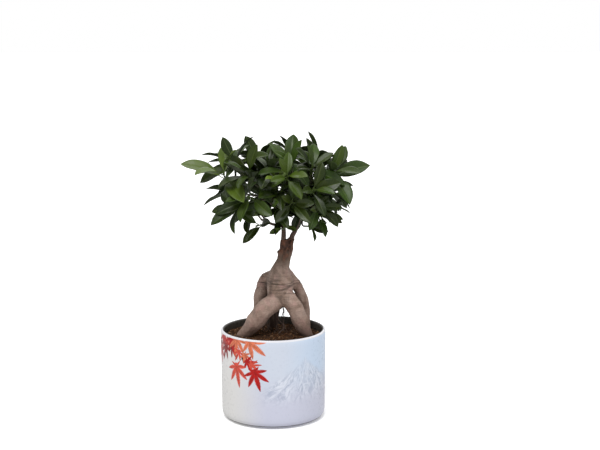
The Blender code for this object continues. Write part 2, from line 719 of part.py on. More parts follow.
def main():
    clear_scene()
    collection = new_collection("bonsai_tree_in_pot")
    cutters = new_collection("cutters_and_guides")
    pot = make_pot(collection)
    soil = make_soil(collection)
    rootstock, socket = make_rootstock(collection, cutters)
    add_boolean(soil, "DIFFERENCE", socket)
    scions = [make_scion(side, collection, cutters) for side in LIMBS]
    make_shoots([pot, rootstock, *scions], collection, cutters)


main()
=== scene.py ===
"""Looks of the grafted bonsai fig in its glazed pot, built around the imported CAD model."""
import math
import random
from functools import partialmethod

import bmesh
import bpy
import numpy as np
from mathutils import Euler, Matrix, Quaternion, Vector, noise


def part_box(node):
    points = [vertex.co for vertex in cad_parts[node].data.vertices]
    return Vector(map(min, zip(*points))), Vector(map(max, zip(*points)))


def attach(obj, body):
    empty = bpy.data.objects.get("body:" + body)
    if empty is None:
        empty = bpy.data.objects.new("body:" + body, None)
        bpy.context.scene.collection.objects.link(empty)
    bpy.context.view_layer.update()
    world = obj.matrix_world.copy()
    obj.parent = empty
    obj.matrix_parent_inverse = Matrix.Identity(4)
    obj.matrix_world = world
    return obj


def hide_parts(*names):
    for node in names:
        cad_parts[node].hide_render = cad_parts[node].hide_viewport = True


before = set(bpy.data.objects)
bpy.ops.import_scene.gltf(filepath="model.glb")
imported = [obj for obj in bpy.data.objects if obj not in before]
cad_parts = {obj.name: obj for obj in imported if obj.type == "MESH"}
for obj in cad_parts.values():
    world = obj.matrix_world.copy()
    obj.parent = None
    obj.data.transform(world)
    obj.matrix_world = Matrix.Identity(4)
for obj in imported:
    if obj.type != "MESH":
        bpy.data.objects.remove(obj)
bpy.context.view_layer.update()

MM = 0.001

# Places read from the frame
POT_LOW, POT_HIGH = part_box("pot")
SOIL_LOW, SOIL_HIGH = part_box("soil")
ROOT_LOW, ROOT_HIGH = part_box("rootstock")
POT_RADIUS = (POT_HIGH.x - POT_LOW.x) / 2
POT_HEIGHT = POT_HIGH.z
SHOOTS = sorted(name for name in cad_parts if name.startswith("shoot_"))
SCIONS = sorted(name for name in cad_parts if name.startswith("scion_"))


# ---- materials

class Nodes:
    """A node tree, with short calls that add nodes and link them."""

    def __init__(self, tree):
        self.tree = tree

    def put(self, socket, value):
        """Link a socket or set a constant; colours may have three numbers."""
        if isinstance(value, bpy.types.NodeSocket):
            self.tree.links.new(value, socket)
        elif socket.type == "RGBA" and len(value) == 3:
            socket.default_value = (*value, 1)
        else:
            socket.default_value = value

    def add(self, kind, **settings):
        node = self.tree.nodes.new(kind)
        for name, value in settings.items():
            setattr(node, name, value)
        return node

    def position(self):
        return self.add("ShaderNodeTexCoord").outputs["Object"]

    def camera_ray(self):
        """1 where the camera sees the surface itself, 0 for the light that it gives the rest."""
        return self.add("ShaderNodeLightPath").outputs["Is Camera Ray"]

    def attribute(self, name):
        return self.add("ShaderNodeAttribute", attribute_name=name).outputs["Fac"]

    def fill(self, node, *values):
        """Give a node's inputs in their order, and return its first output."""
        for socket, value in zip(node.inputs, values):
            self.put(socket, value)
        return node.outputs[0]

    def feed(self, node, **values):
        """Give a node's inputs by name, with _ for a space."""
        for name, value in values.items():
            self.put(node.inputs[name.replace("_", " ")], value)
        return node.outputs

    def math(self, operation, *values):
        return self.fill(self.add("ShaderNodeMath", operation=operation), *values)

    plus = partialmethod(math, "ADD")
    minus = partialmethod(math, "SUBTRACT")
    times = partialmethod(math, "MULTIPLY")
    over = partialmethod(math, "DIVIDE")
    absolute = partialmethod(math, "ABSOLUTE")

    def hypot(self, x, y):
        return self.math("SQRT", self.plus(self.times(x, x), self.times(y, y)))

    def split(self, vector):
        node = self.add("ShaderNodeSeparateXYZ")
        self.fill(node, vector)
        return node.outputs

    def join(self, x, y, z):
        return self.fill(self.add("ShaderNodeCombineXYZ"), x, y, z)

    def scaled(self, vector, scale):
        return self.fill(self.add("ShaderNodeVectorMath", operation="MULTIPLY"), vector, scale)

    def warped(self, place, scale, reach):
        """The place pushed about by a noise, so that a pattern wanders."""
        push = self.feed(self.add("ShaderNodeTexNoise"), Vector=place, Scale=scale)["Color"]
        node = self.add("ShaderNodeVectorMath", operation="MULTIPLY_ADD")
        return self.fill(node, push, (reach, reach, reach), place)

    def noise(self, place, scale, detail=4.0, roughness=0.55, distortion=0.0):
        node = self.add("ShaderNodeTexNoise")
        found = self.feed(node, Vector=place, Scale=scale, Detail=detail, Roughness=roughness,
                          Distortion=distortion)
        return found["Fac"]

    def cells(self, place, scale, feature="F1"):
        node = self.add("ShaderNodeTexVoronoi", feature=feature)
        return self.feed(node, Vector=place, Scale=scale)["Distance"]

    def between(self, value, low, high, to_low=0.0, to_high=1.0):
        """A smooth step of the value from low to high."""
        node = self.add("ShaderNodeMapRange", interpolation_type="SMOOTHSTEP")
        found = self.feed(node, Value=value, From_Min=low, From_Max=high, To_Min=to_low, To_Max=to_high)
        return found["Result"]

    def mix(self, share, first, second):
        node = self.add("ShaderNodeMix", data_type="RGBA")
        for socket, value in ((0, share), (6, first), (7, second)):
            self.put(node.inputs[socket], value)
        return node.outputs[2]

    def ramp(self, value, stops):
        node = self.add("ShaderNodeValToRGB")
        ramp = node.color_ramp
        while len(ramp.elements) < len(stops):
            ramp.elements.new(0.5)
        for element, (place, colour) in zip(ramp.elements, stops):
            element.position = place
            element.color = (*colour, 1)
        self.put(node.inputs[0], value)
        return node.outputs["Color"]

    def bump(self, height, strength, distance):
        node = self.add("ShaderNodeBump")
        return self.feed(node, Strength=strength, Distance=distance, Height=height)["Normal"]


class Shading(Nodes):
    """The nodes of a new material."""

    def __init__(self, name):
        self.material = bpy.data.materials.new(name)
        self.material.use_nodes = True
        super().__init__(self.material.node_tree)
        self.shader = self.tree.nodes["Principled BSDF"]

    def set(self, **inputs):
        self.feed(self.shader, **inputs)


class Group(Nodes):
    """A reusable node group with named float inputs and outputs."""

    def __init__(self, name, inputs, outputs):
        super().__init__(bpy.data.node_groups.new(name, "ShaderNodeTree"))
        for kind, names in (("INPUT", inputs), ("OUTPUT", outputs)):
            for socket in names:
                self.tree.interface.new_socket(name=socket, in_out=kind, socket_type="NodeSocketFloat")
        self.given = self.tree.nodes.new("NodeGroupInput").outputs[:len(inputs)]
        self.result = self.tree.nodes.new("NodeGroupOutput").inputs

    def use(self, nodes, **values):
        return nodes.feed(nodes.add("ShaderNodeGroup", node_tree=self.tree), **values)


def srgb(red, green, blue):
    """Linear colour of an 8-bit display colour."""
    return tuple(((level / 255 + 0.055) / 1.055) ** 2.4 for level in (red, green, blue))


SIDE_VEINS = 11  # along each half of a blade


def leaf_material():
    """Glossy leathery blade: pale midrib and side veins, a duller underside, each leaf its own tone."""
    s = Shading("leaf")
    across = s.attribute("across")
    along = s.attribute("along")
    tone = s.attribute("tone")
    young = s.attribute("young")
    under = s.attribute("under")
    place = s.position()
    reach = s.absolute(across)
    midrib = s.between(reach, 0.03, 0.1, 1, 0)
    slanted = s.minus(along, s.times(reach, 0.16))
    wave = s.math("SINE", s.times(slanted, math.tau * SIDE_VEINS))
    side_vein = s.times(s.between(wave, 0.8, 1.0), s.between(reach, 0.75, 0.95, 1, 0))
    vein = s.math("MAXIMUM", midrib, s.times(side_vein, 0.3))
    mottle = s.noise(place, 160, 3, 0.6)
    drift = s.noise(place, 42, 3, 0.6)
    dark = s.mix(tone, (0.005, 0.01, 0.0012), (0.026, 0.058, 0.004))
    dark = s.mix(s.between(drift, 0.42, 0.68, 0, 0.5), dark, (0.036, 0.047, 0.004))
    dark = s.mix(s.between(mottle, 0.35, 0.75, 0, 0.5), dark, (0.013, 0.027, 0.003))
    fresh = s.mix(mottle, (0.105, 0.17, 0.014), (0.15, 0.215, 0.026))
    upper = s.mix(young, dark, fresh)
    upper = s.mix(s.times(vein, 0.35), upper, (0.105, 0.15, 0.036))
    lower = s.mix(young, (0.026, 0.042, 0.011), (0.1, 0.15, 0.03))
    lower = s.mix(s.times(vein, 0.6), lower, (0.12, 0.16, 0.06))
    s.set(Base_Color=s.mix(under, upper, lower))
    s.set(Roughness=s.plus(s.between(mottle, 0.3, 0.7, 0.3, 0.42), s.times(under, 0.25)))
    s.set(Specular_IOR_Level=0.26)
    relief = s.plus(s.times(vein, -0.6), s.times(mottle, 0.5))
    s.set(Normal=s.bump(relief, 0.35, 0.4 * MM))
    return s.material


def bark_material():
    """Smooth fig bark: grey-brown, pinkish patches, painted shade in creases and hollows, pale pores,
    redder at the graft, with a soil stain low down and painted shade on the back roots under the arch.
    """
    s = Shading("bark")
    place = s.position()
    painted_shade = s.attribute("painted_shade")
    graft = s.attribute("graft")
    patches = s.noise(place, 46, 5, 0.62, 0.5)
    fine = s.noise(place, 520, 4, 0.7)
    bands = s.noise(s.scaled(place, (110, 110, 640)), 1, 4, 0.65, 0.6)
    colour = s.ramp(patches, ((0.32, (0.135, 0.086, 0.058)), (0.44, (0.25, 0.17, 0.13)),
                              (0.55, (0.375, 0.268, 0.218)), (0.68, (0.285, 0.212, 0.176))))
    blush = s.between(s.noise(place, 70, 4, 0.65), 0.5, 0.66, 0, 0.6)
    colour = s.mix(blush, colour, (0.375, 0.225, 0.195))
    grey = s.between(s.noise(s.scaled(place, (60, 60, 28)), 1, 4, 0.65), 0.5, 0.68, 0, 0.6)
    colour = s.mix(grey, colour, (0.17, 0.128, 0.102))
    colour = s.mix(s.between(bands, 0.52, 0.72, 0, 0.4), colour, (0.11, 0.07, 0.05))
    colour = s.mix(s.between(fine, 0.55, 0.75, 0, 0.45), colour, (0.42, 0.32, 0.27))
    cracks = s.cells(s.scaled(s.warped(place, 120, 0.012), (1, 1, 0.55)), 150, "DISTANCE_TO_EDGE")
    cracks = s.times(s.between(cracks, 0.0, 0.07, 1, 0), s.between(patches, 0.4, 0.56))
    colour = s.mix(s.times(cracks, 0.26), colour, (0.085, 0.055, 0.038))
    pores = s.between(s.cells(s.scaled(place, (1, 1, 1.8)), 360), 0.1, 0.26, 1, 0)
    colour = s.mix(s.times(pores, 0.5), colour, (0.33, 0.26, 0.215))
    legs = s.between(s.split(place)[2], SOIL_HIGH.z + 5 * MM, SOIL_HIGH.z + 48 * MM, 0.42, 0)
    colour = s.mix(legs, colour, (0.185, 0.112, 0.088))
    colour = s.mix(s.times(s.attribute("neck"), 0.8), colour, (0.112, 0.074, 0.048))
    flakes = s.noise(s.scaled(place, (300, 300, 120)), 1, 4, 0.7)
    red = s.mix(s.between(flakes, 0.4, 0.62), (0.04, 0.014, 0.009), (0.185, 0.072, 0.04))
    colour = s.mix(graft, colour, red)
    # Soil stain near the ground, and painted shade on the back roots under the arch.
    colour = s.mix(s.attribute("soil_stain_and_shade"), colour, (0.022, 0.012, 0.008))
    # Painted shade: creases, the cleft and hollows darkened.
    colour = s.mix(s.times(painted_shade, 0.9), colour, (0.022, 0.014, 0.01))
    s.set(Base_Color=colour)
    s.set(Roughness=s.between(fine, 0.3, 0.7, 0.55, 0.75), Specular_IOR_Level=0.3)
    relief = s.plus(s.times(bands, 0.45), s.times(fine, 0.6))
    s.set(Normal=s.bump(relief, 0.7, 0.8 * MM))
    return s.material


def branch_material():
    """Young bark, brown below and greener towards the shoots."""
    s = Shading("branch")
    place = s.position()
    fine = s.noise(place, 520, 4, 0.7)
    rings = s.noise(s.scaled(place, (260, 260, 800)), 1, 3, 0.6)
    colour = s.mix(s.between(fine, 0.35, 0.7), (0.04, 0.02, 0.013), (0.135, 0.075, 0.048))
    colour = s.mix(s.between(rings, 0.55, 0.75, 0, 0.6), colour, (0.18, 0.125, 0.085))
    colour = s.mix(s.attribute("green"), colour, (0.07, 0.085, 0.026))
    s.set(Base_Color=colour, Roughness=0.62)
    s.set(Normal=s.bump(s.plus(fine, rings), 0.5, 0.4 * MM))
    return s.material


def soil_material():
    """Peat crumbs: each grain carries its own shade."""
    s = Shading("soil")
    place = s.position()
    grain = s.noise(place, 700, 5, 0.75)
    clump = s.noise(place, 90, 3, 0.6)
    shade = s.attribute("shade")
    base = s.mix(grain, (0.008, 0.004, 0.002), (0.085, 0.038, 0.016))
    base = s.mix(s.between(clump, 0.4, 0.7), base, (0.024, 0.011, 0.005))
    chip = s.ramp(shade, ((0.0, (0.006, 0.003, 0.001)), (0.35, (0.044, 0.018, 0.007)),
                          (0.6, (0.115, 0.045, 0.017)), (0.8, (0.19, 0.095, 0.042)),
                          (1.0, (0.36, 0.22, 0.12))))
    chip = s.mix(s.between(grain, 0.3, 0.6, 0.75, 0), chip, (0.01, 0.006, 0.004))
    s.set(Base_Color=s.mix(s.between(shade, 0.0, 0.02), base, chip))
    s.set(Roughness=0.95, Specular_IOR_Level=0.15)
    s.set(Normal=s.bump(grain, 0.9, 0.8 * MM))
    return s.material


# ---- meshes

def new_object(name, data):
    thing = bpy.data.objects.new(name, data)
    bpy.context.scene.collection.objects.link(thing)
    return thing


def make_piece(name, vertices, faces, material, replaced=(), values=None):
    """A finished piece of the object that rides on the frame; values are per-vertex numbers."""
    mesh = bpy.data.meshes.new(name)
    mesh.from_pydata([tuple(place) for place in vertices], [], faces)
    return finish_piece(name, mesh, material, replaced, values)


def finish_piece(name, mesh, material, replaced=(), values=None):
    for key, numbers in (values or {}).items():
        layer = mesh.attributes.new(key, "FLOAT", "POINT")
        layer.data.foreach_set("value", np.asarray(numbers, np.float32))
    mesh.materials.clear()
    mesh.materials.append(material)
    mesh.shade_smooth()
    mesh.update()
    thing = new_object(name, mesh)
    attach(thing, "root")
    if replaced:
        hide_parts(*replaced)
    return thing


def welded(node):
    """The CAD node's solid as a bmesh whose faces share their corners."""
    shape = bmesh.new()
    shape.from_mesh(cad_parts[node].data)
    bmesh.ops.remove_doubles(shape, verts=shape.verts, dist=0.002 * MM)
    shape.verts.ensure_lookup_table()
    return shape


def resurfaced(shape, voxel, rounds):
    """A fine even skin over a coarse solid: voxel remesh, then smoothing."""
    mesh = bpy.data.meshes.new("skin")
    shape.to_mesh(mesh)
    shape.free()
    guide = new_object("skin", mesh)
    remesh = guide.modifiers.new("remesh", "REMESH")
    remesh.mode = "VOXEL"
    remesh.voxel_size = voxel
    smooth = guide.modifiers.new("smooth", "SMOOTH")
    smooth.factor = 0.5
    smooth.iterations = rounds
    graph = bpy.context.evaluated_depsgraph_get()
    skin = bpy.data.meshes.new_from_object(guide.evaluated_get(graph))
    bpy.data.objects.remove(guide, do_unlink=True)
    return skin


def bridge(faces, near, far):
    """The faces between two closed rings of vertices, or the far ring's cap where near is None."""
    if near is None:
        faces.append(tuple(reversed(far)))
        return
    for index in range(len(near)):
        following = (index + 1) % len(near)
        corners = (near[index], near[following], far[following], far[index])
        faces.append(tuple(dict.fromkeys(corners)))


def add_tube(vertices, faces, path, radii, sides):
    """A closed tube along the path."""
    previous = None
    side = None
    for index, place in enumerate(path):
        heading = (path[min(index + 1, len(path) - 1)] - path[max(index - 1, 0)]).normalized()
        side = heading.orthogonal() if side is None else side - heading * side.dot(heading)
        side.normalize()
        start = len(vertices)
        for corner in range(sides):
            turn = Quaternion(heading, math.tau * corner / sides)
            vertices.append(place + (turn @ side) * radii[index])
        ring = list(range(start, start + sides))
        bridge(faces, previous, ring)
        previous = ring
    faces.append(tuple(previous))


def polar(reach, angle):
    """x and y at this reach from the pot's axis."""
    return reach * math.cos(angle), reach * math.sin(angle)


def clamped(value):
    return min(1.0, max(0.0, value))


def coordinates(mesh, field="co"):
    """The vertices' places or normals as rows of numbers."""
    found = np.zeros(len(mesh.vertices) * 3, np.float32)
    mesh.vertices.foreach_get(field, found)
    return found.reshape(-1, 3)


# ---- leaves

STATIONS = (0.05, 0.38, 0.74, 1.0)  # where the CAD blades have their sections
OUTLINE = ((0.0, 0.07), (0.05, 0.13), (0.12, 0.36), (0.22, 0.65), (0.38, 0.92), (0.55, 1.0),
           (0.7, 0.9), (0.82, 0.68), (0.91, 0.4), (0.965, 0.19), (1.0, 0.03))
BLADE_STEPS = 18
COLUMNS = (-1.0, -0.82, -0.52, -0.2, 0.0, 0.2, 0.52, 0.82, 1.0)
# The corners of a section: the upper sheet (1) from left to right, then the lower sheet (-1) back;
# the two sheets meet at the margins (0).
SECTION = [(column, int(abs(column) < 1)) for column in COLUMNS]
SECTION += [(column, -1) for column in reversed(COLUMNS[1:-1])]
BLADE_THICKNESS = 0.36 * MM
PETIOLE_RADIUS = 0.55 * MM
# How one blade may differ from the CAD blade under it.
FOLDING = (1.1, 1.9)  # times its fold
NARROWING = (0.82, 1.0)  # times its width
CUPPING = (0.4, 1.3)  # times the fold, for the downward curl of the margins
TWIST = 28  # degrees either way from base to tip
WAVE = (0.1, 0.45)  # mm that the margins rise and fall
BUD_REACH = (3.5, 6.0)  # mm that a stem and its bud go past the last leaf
STEM_SIDES = 10
STEM_PROFILE = ((0.0, 1.0), (0.18, 0.92), (0.22, 1.04), (0.27, 0.9), (0.42, 0.86), (0.47, 0.98),
                (0.52, 0.84), (0.68, 0.78), (0.72, 0.95), (0.8, 0.85), (0.92, 0.42), (1.0, 0.06))
STEM_DEPTH = 0.8 * MM  # how far a stem runs into the twig under it
# How young the shoots with fresh green leaves look.
FRESH_SHOOTS = {"shoot_young": 0.85, "shoot_middle": 0.18, "shoot_far_left": 0.42, "shoot_stump": 0.3}


def outline(share):
    """Half width of a blade as a share of its widest, by place from base to tip."""
    return float(np.interp(share, *zip(*OUTLINE)))


def ring_after(seen, ring):
    """The vertices one edge further from the tip, which are then seen too."""
    following = []
    for corner in ring:
        for edge in corner.link_edges:
            other = edge.other_vert(corner)
            if other not in seen:
                seen.add(other)
                following.append(other)
    return following


def read_leaf(tip):
    """The sections of a CAD leaf, found ring by ring from its tip, or None if this is no leaf tip."""
    if len(tip.link_edges) != 4:
        return None
    seen = {tip}
    rings = [[tip]]
    for step in range(3):
        rings.append(ring_after(seen, rings[-1]))
        if len(rings[-1]) != 4:
            return None
    root = ring_after(seen, rings[-1])
    if not 3 <= len(root) <= 24:
        return None
    lengths = [(mean_of(near) - mean_of(far)).length for near, far in zip(rings, rings[1:])]
    if min(lengths) < 1.5 * MM or (mean_of(root) - mean_of(rings[-1])).length < 1.0 * MM:
        return None
    sections = []
    last_side = None
    for ring in rings[1:]:
        pairs = [(a, b) for index, a in enumerate(ring) for b in ring[index + 1:]]
        left, right = max(pairs, key=lambda pair: (pair[0].co - pair[1].co).length)
        middles = [corner for corner in ring if corner not in (left, right)]
        side = (right.co - left.co) / 2
        if last_side and side.dot(last_side) < 0:
            side = -side
        last_side = side
        raised = (left.co + right.co) / 2 - mean_of(middles)
        sections.append((mean_of(middles), side, raised))
    sections.reverse()
    return {"tip": tip.co.copy(), "sections": sections, "root": mean_of(root), "members": seen}


def mean_of(corners):
    """The middle of these vertices."""
    return sum((corner.co for corner in corners), Vector()) / len(corners)


def lagrange(places, values, where):
    """The smooth curve through the values, read at one place."""
    total = values[0] * 0
    for index, value in enumerate(values):
        weight = 1.0
        for other, place in enumerate(places):
            if other != index:
                weight *= (where - place) / (places[index] - place)
        total = total + value * weight
    return total


class Foliage:
    """Collects the leaves of one shoot into a single mesh with its per-vertex values."""

    def __init__(self):
        self.vertices = []
        self.faces = []
        self.values = {key: [] for key in ("across", "along", "tone", "young", "under")}

    def add_ring(self, previous, places, rows):
        """A ring joined to the previous one, or capped where it is the first."""
        ring = list(range(len(self.vertices), len(self.vertices) + len(places)))
        self.vertices.extend(places)
        for key, numbers in zip(self.values, zip(*rows)):
            self.values[key].extend(numbers)
        bridge(self.faces, previous, ring)
        return ring

    def add_leaf(self, leaf, tone, young, dice):
        """One fine leaf over the CAD leaf's midrib and width."""
        sections = leaf["sections"]
        middles = [section[0] for section in sections] + [leaf["tip"]]
        sides = [section[1].normalized() for section in sections]
        widest = sections[1][1].length / outline(STATIONS[1])
        widest = max(widest, sections[2][1].length / outline(STATIONS[2]) * 0.98)
        fold = sections[1][2].length / sections[1][1].length * dice.uniform(*FOLDING)
        twist = math.radians(dice.uniform(-TWIST, TWIST))
        widest *= dice.uniform(*NARROWING)
        wave_phase = dice.uniform(0, math.tau)
        wave_height = dice.uniform(*WAVE) * MM
        cupping = dice.uniform(*CUPPING)
        root = leaf["root"]
        heading = (middles[1] - root).normalized()
        upper = sides[0].cross(heading).normalized()
        if upper.dot(sections[1][2]) < 0:
            sides = [-side for side in sides]
            upper = -upper
        ring = None
        for share in (0, 1 / 3, 2 / 3):
            centre = root.lerp(middles[0], share)
            radius = PETIOLE_RADIUS * (1.15 - 0.25 * share)
            places = []
            for column, sheet in SECTION:
                angle = math.pi / 2 * (1 - column)
                raised = upper * radius * math.sin(angle) * sheet
                places.append(centre + sides[0] * radius * math.cos(angle) + raised)
            ring = self.add_ring(ring, places, [(0.0, 0.0, tone, max(young, 0.3), 0.6)] * len(places))
        for step in range(BLADE_STEPS + 1):
            share = 0.5 - 0.5 * math.cos(math.pi * (step / BLADE_STEPS))
            where = STATIONS[0] + (1 - STATIONS[0]) * share
            centre = lagrange(STATIONS, middles, where)
            ahead = lagrange(STATIONS, middles, min(1.0, where + 0.02))
            behind = lagrange(STATIONS, middles, max(0.0, where - 0.02))
            heading = (ahead - behind).normalized()
            side = lagrange(STATIONS[:3], sides, min(where, STATIONS[2])).normalized()
            side = (side - heading * side.dot(heading)).normalized()
            side = Quaternion(heading, twist * (where - 0.4)) @ side
            upper = side.cross(heading).normalized()
            half = widest * outline(where)
            ripple = wave_height * math.sin(wave_phase + where * 13) * math.sin(math.pi * where)
            ring = self.blade_ring(ring, centre, side, upper, half, fold, cupping, ripple, where,
                                   tone, young)
        self.faces.append(tuple(ring))

    def blade_ring(self, previous, centre, side, upper, half, fold, cupping, ripple, where, tone, young):
        """A section of the blade: a trough with curled margins, a groove above and a keel below."""
        places = []
        rows = []
        thickness = min(BLADE_THICKNESS, half * 1.2)
        keel = 0.35 * MM * (1 - where) + 0.1 * MM
        for column, sheet in SECTION:
            reach = abs(column)
            trough = fold * half * (reach * 0.55 + 0.45 * reach * reach)
            curl = cupping * fold * half * max(0, reach - 0.55) ** 2
            groove = -0.22 * MM * math.exp(-(column / 0.1) ** 2) * (1 - where * 0.6)
            lift = trough - curl + groove + ripple * (1 if column > 0 else -1) * reach * reach
            lift += sheet * thickness / 2
            if column == 0 and sheet < 0:
                lift -= keel
            places.append(centre + side * half * column + upper * lift)
            rows.append((column, where, tone, young, float(sheet < 0)))
        return self.add_ring(previous, places, rows)

    def add_stem(self, base, tip, radius, young):
        """Green stem with leaf-scar rings and a long pointed bud."""
        axis = (tip - base).normalized()
        side = axis.orthogonal().normalized()
        length = (tip - base).length
        ring = None
        for share, width in STEM_PROFILE:
            places = []
            for index in range(STEM_SIDES):
                turn = Quaternion(axis, math.tau * index / STEM_SIDES)
                places.append(base + axis * length * share + (turn @ side) * radius * width)
            rows = [(0.5, 0.5, 0.4, young * (0.35 + 0.65 * share), 0.5)] * STEM_SIDES
            ring = self.add_ring(ring, places, rows)
        self.faces.append(tuple(ring))


def stem_of(shape, leaves):
    """Base centre, tip and radius of the shoot's stem, from what isn't leaf."""
    taken = set()
    for leaf in leaves:
        taken |= leaf["members"]
    rest = np.array([corner.co for corner in shape.verts if corner not in taken])
    rest = rest if len(rest) > 6 else np.array([corner.co for corner in shape.verts])
    middle = rest.mean(0)
    axis = np.linalg.svd(rest - middle)[2][0]
    along = (rest - middle) @ axis
    ends = []
    for edge in (along.min(), along.max()):
        near = rest[np.abs(along - edge) < 0.6 * MM]
        ends.append((Vector(near.mean(0)), len(near), np.linalg.norm(near - near.mean(0), axis=1).max()))
    base, tip = ends if ends[0][1] >= ends[1][1] else ends[::-1]
    return base[0], tip[0], max(base[2], 0.7 * MM)


def make_shoot(name, material, index):
    """One shoot: fine leaves over all of its CAD leaves, and its stem."""
    dice = random.Random(1000 + index)
    shape = welded(name)
    leaves = [leaf for leaf in map(read_leaf, shape.verts) if leaf]
    base, tip, radius = stem_of(shape, leaves)
    foliage = Foliage()
    axis = (tip - base).normalized()
    reach = max(((leaf["root"] - base).dot(axis) for leaf in leaves), default=(tip - base).length)
    tip = base + axis * min((tip - base).length, reach + dice.uniform(*BUD_REACH) * MM)
    base -= axis * STEM_DEPTH
    for leaf in leaves:
        age = clamped((leaf["root"] - base).dot(axis) / (tip - base).length)
        young = FRESH_SHOOTS.get(name, 0.0) + 0.22 * max(0, age - 0.45) + dice.uniform(0, 0.06)
        foliage.add_leaf(leaf, dice.uniform(0, 1), min(1, young), dice)
    foliage.add_stem(base, tip, radius, 0.45)
    make_piece(name.replace("shoot", "leaves"), foliage.vertices, foliage.faces, material,
               (name,), foliage.values)
    shape.free()


# ---- wood

# Along the trunk's height over the soil, as shares of it:
WAIST, WAIST_SPREAD = 0.51, 0.1  # the creased waist
NECK, NECK_SPREAD = 0.64, 0.14  # where the darker neck begins
SCAR, SCAR_SPREAD = 0.76, 0.12  # where the scarred graft begins
CLEFT = ((0.7, 0.33, 1.0), (0.67, 0.31, 0.885))  # both ends, as shares of the rootstock's box
# Knots of the trunk: place as shares of the rootstock's box, radius and height.
KNOTS = (
    ((0.555, 0.35, 0.874), 0.0026, 0.0032),
    ((0.36, 0.2, 0.66), 0.004, 0.001),
    ((0.24, 0.16, 0.55), 0.0034, 0.0012),
    ((0.62, 0.24, 0.6), 0.0036, 0.0009),
    ((0.17, 0.22, 0.3), 0.0045, 0.0012),
    ((0.8, 0.22, 0.36), 0.004, 0.001),
)
FINE_ROOTS = 14
ROOT_STEPS = 11
GRAFT_DEPTH = 2.5 * MM  # how far a scion's skin runs into the stub under it
INNER_LEAVES = 170
OLD_WOOD = 26 * MM  # how far above the graft the inner leaves begin


def neighbour_mean(values, edges):
    """Each vertex's mean over the vertices that its edges lead to."""
    total = np.zeros_like(values)
    count = np.zeros(len(values))
    for near, far in (edges.T, edges.T[::-1]):
        np.add.at(total, near, values[far])
        np.add.at(count, near, 1)
    count = np.maximum(count, 1)
    return total / (count[:, None] if values.ndim == 2 else count)


def hollows(mesh, rounds=6, deepest=0.28 * MM):
    """How far each vertex lies in a hollow, from 0 to 1, where the bark's painted shade goes and the graft
    is deepened.
    """
    places = coordinates(mesh)
    normals = coordinates(mesh, "normal")
    edges = np.zeros(len(mesh.edges) * 2, np.int32)
    mesh.edges.foreach_get("vertices", edges)
    edges = edges.reshape(-1, 2)
    smooth = places
    for step in range(rounds):
        smooth = neighbour_mean(smooth, edges)
    depth = ((smooth - places) * normals).sum(1)
    for step in range(2):
        depth = neighbour_mean(depth, edges)
    return np.clip(depth / deepest, 0, 1)


def wrinkle(spot, across, along, width):
    """1 on thin wandering lines that run level round the wood, fading to 0 beside them."""
    value = noise.noise(Vector((spot.x * across, spot.y * across, spot.z * along)))
    return max(0.0, 1 - abs(value) / width)


def cleft_depth(spot):
    """The split in the front of the neck between the two grafted limbs, deepest at its top."""
    top, bottom = (box_place(share) for share in CLEFT)
    along = bottom - top
    share = clamped((spot - top).dot(along) / along.length_squared)
    sway = noise.noise(Vector((4, 2, spot.z * 160))) * 1.6 * MM
    nearest = top + along * share + Vector((sway, 0, 0))
    width = (2.0 - 1.1 * share) * MM * (1 + 0.5 * noise.noise(spot * 260))
    return 2.8 * MM * (1 - 0.6 * share) * math.exp(-((spot - nearest).length / width) ** 2)


def box_place(share):
    """The place that lies at these shares of the rootstock's box."""
    return ROOT_LOW + Vector(part * span for part, span in zip(share, ROOT_HIGH - ROOT_LOW))


def move_vertices(mesh, places):
    """Put the mesh's vertices at these rows of numbers."""
    mesh.vertices.foreach_set("co", places.astype(np.float32).ravel())
    mesh.update()


